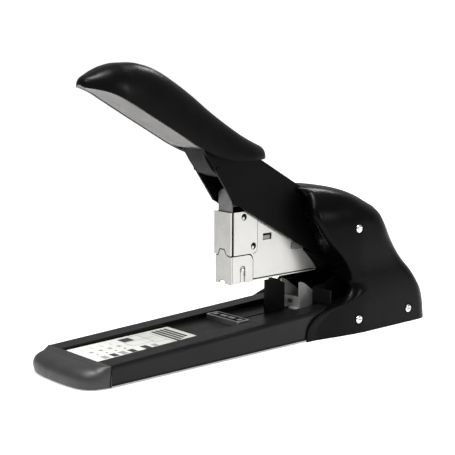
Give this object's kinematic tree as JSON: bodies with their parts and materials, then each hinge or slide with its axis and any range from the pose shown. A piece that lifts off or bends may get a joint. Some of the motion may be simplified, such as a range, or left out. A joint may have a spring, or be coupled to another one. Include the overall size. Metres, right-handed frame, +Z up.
{
  "type": "heavy-duty stapler",
  "caption": "Long-base desk stapler with a press-down handle, a pivoting staple magazine and a sliding paper stop under black rear covers.",
  "frame": {"origin": "on the table under the centre of the stapler's outline", "axes": "+X runs from the nose to the rear covers, +Z is up, +Y is the far side when the nose points left"},
  "size_m": [0.2896, 0.0786, 0.1798],
  "materials": {
    "base_channel": "semi-gloss black paint",
    "base_plate": "satin black paint",
    "nose_cap": "fine-grained charcoal plastic",
    "info_label": null,
    "anvil_plate": "hardened steel",
    "anvil_rivets": "plain steel",
    "rubber_feet": "matt rubber",
    "guide_bracket": "zinc-plated sheet",
    "frame_plate_near": "zinc-plated sheet",
    "frame_plate_far": "zinc-plated sheet",
    "frame_rivets": "plain steel",
    "arm_axle": "ground steel",
    "magazine_axle": "ground steel",
    "axle_clips": "spring steel",
    "cover_near": "satin-gloss black",
    "cover_far": "satin-gloss black",
    "cover_spine": "black plastic",
    "cover_screws": "bright plated",
    "return_spring": "oiled spring wire",
    "paper_stop": "black plastic",
    "stop_shoe": "black plastic",
    "handle_arm": "satin black paint",
    "grip_shell": "satin black",
    "grip_insert": "fine-grained grey",
    "grip_core": "black plastic",
    "core_pin": "blackened steel",
    "press_pin": "blackened steel",
    "magazine_side_near": "nickel-plated sheet",
    "magazine_side_far": "nickel-plated sheet",
    "magazine_carrier": "black paint",
    "cross_pin": "bright steel",
    "guide_cheeks": "nickel-plated sheet",
    "front_plate": "nickel-plated sheet",
    "nose_piece": "nickel-plated sheet",
    "nose_pins": "plain steel",
    "staple_rail": "plain steel",
    "staple_strip": "galvanised wire",
    "pusher_spring": "spring wire",
    "staple_pusher": "black plastic",
    "driver_blade": "dark hardened steel",
    "driver_block": "dark grey steel",
    "driver_rivets": "plain steel"
  },
  "bodies": {
    "base": {"base_channel": "base_channel", "base_plate": "base_plate", "nose_cap": "nose_cap", "info_label": "info_label", "anvil_plate": "anvil_plate", "anvil_rivets": "anvil_rivets", "rubber_feet": "rubber_feet", "guide_bracket": "guide_bracket", "frame_plate_near": "frame_plate_near", "frame_plate_far": "frame_plate_far", "frame_rivets": "frame_rivets", "arm_axle": "arm_axle", "magazine_axle": "magazine_axle", "axle_clips": "axle_clips", "cover_near": "cover_near", "cover_far": "cover_far", "cover_spine": "cover_spine", "cover_screws": "cover_screws", "return_spring": "return_spring"},
    "stop": {"paper_stop": "paper_stop", "stop_shoe": "stop_shoe"},
    "handle": {"handle_arm": "handle_arm", "grip_shell": "grip_shell", "grip_insert": "grip_insert", "grip_core": "grip_core", "core_pin": "core_pin", "press_pin": "press_pin"},
    "magazine": {"magazine_side_near": "magazine_side_near", "magazine_side_far": "magazine_side_far", "magazine_carrier": "magazine_carrier", "cross_pin": "cross_pin", "guide_cheeks": "guide_cheeks", "front_plate": "front_plate", "nose_piece": "nose_piece", "nose_pins": "nose_pins", "staple_rail": "staple_rail", "staple_strip": "staple_strip", "pusher_spring": "pusher_spring"},
    "pusher": {"staple_pusher": "staple_pusher"},
    "driver": {"driver_blade": "driver_blade", "driver_block": "driver_block", "driver_rivets": "driver_rivets"}
  },
  "joints": [
    {"name": "handle_press", "type": "hinge", "parent": "base", "child": "handle", "pos_m": [0.082, 0, 0.062], "axis": [0, -1, 0], "range_deg": [0, 29], "stiffness_Nm_per_rad": 0.9, "springref_deg": -34.38},
    {"name": "magazine_tilt", "type": "hinge", "parent": "base", "child": "magazine", "pos_m": [0.092, 0, 0.046], "axis": [0, -1, 0], "range_deg": [0, 11.6]},
    {"name": "driver_slide", "type": "slide", "parent": "magazine", "child": "driver", "axis": [0, 0, -1], "range_m": [0, 0.0247]},
    {"name": "stop_slide", "type": "slide", "parent": "base", "child": "stop", "axis": [0.9998, 0, 0.0215], "range_m": [-0.022, 0.001]},
    {"name": "pusher_slide", "type": "slide", "parent": "magazine", "child": "pusher", "axis": [1, 0, 0], "range_m": [0, 0.012], "stiffness_N_per_m": 60, "springref_m": -0.03, "deforming": ["pusher_spring"]}
  ],
  "couplings": [
    {"joint": "magazine_tilt", "follows": "handle_press", "ratio": 0.39828},
    {"joint": "driver_slide", "follows": "handle_press", "m_per_rad": 0.048603}
  ]
}
